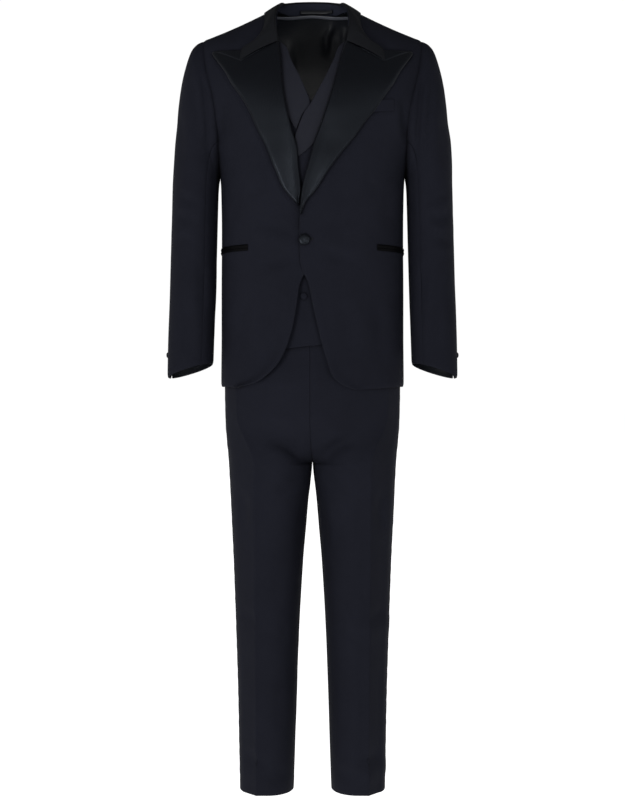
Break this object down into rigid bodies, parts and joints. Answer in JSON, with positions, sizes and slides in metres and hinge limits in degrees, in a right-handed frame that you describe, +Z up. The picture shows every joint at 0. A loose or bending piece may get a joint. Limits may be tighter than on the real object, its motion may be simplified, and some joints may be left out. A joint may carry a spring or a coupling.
{
  "type": "three-piece tuxedo",
  "caption": "Three-piece evening suit: jacket with wide satin peak lapels, double-breasted waistcoat and creased trousers, hollow and filled out as worn.",
  "frame": {"origin": "base of the neck, midway between the shoulders, where the wearer's body holds the suit up", "axes": "+Z up along the wearer's height, -Y the front, +X the wearer's left"},
  "size_m": [0.5844, 0.2509, 1.587],
  "materials": {
    "wool": "fine worsted wool in midnight blue, matt with a faint nap",
    "satin": "silk satin in midnight blue, softly glossy",
    "lining": "smooth lining satin in slate blue, glossy"
  },
  "bodies": {
    "root": {"jacket_front_left": "wool", "jacket_front_right": "wool", "jacket_side_left": "wool", "jacket_side_right": "wool", "jacket_back_left": "wool", "jacket_back_right": "wool", "sleeve_top_left": "wool", "sleeve_top_right": "wool", "sleeve_under_left": "wool", "sleeve_under_right": "wool", "collar_leaf": "wool", "collar_stand": "wool", "breast_welt": "wool", "vest_front_left": "wool", "vest_front_right": "wool", "vest_lapel_left": "wool", "vest_lapel_right": "wool", "trouser_front_left": "wool", "trouser_front_right": "wool", "trouser_back_left": "wool", "trouser_back_right": "wool", "waistband": "wool", "lapel_left": "satin", "lapel_right": "satin", "hip_pocket_left": "satin", "hip_pocket_right": "satin", "hanger_loop": "satin", "front_button": "satin", "vest_button": "satin", "cuff_button_left": "satin", "cuff_button_right": "satin", "vest_back": "lining"}
  },
  "joints": []
}
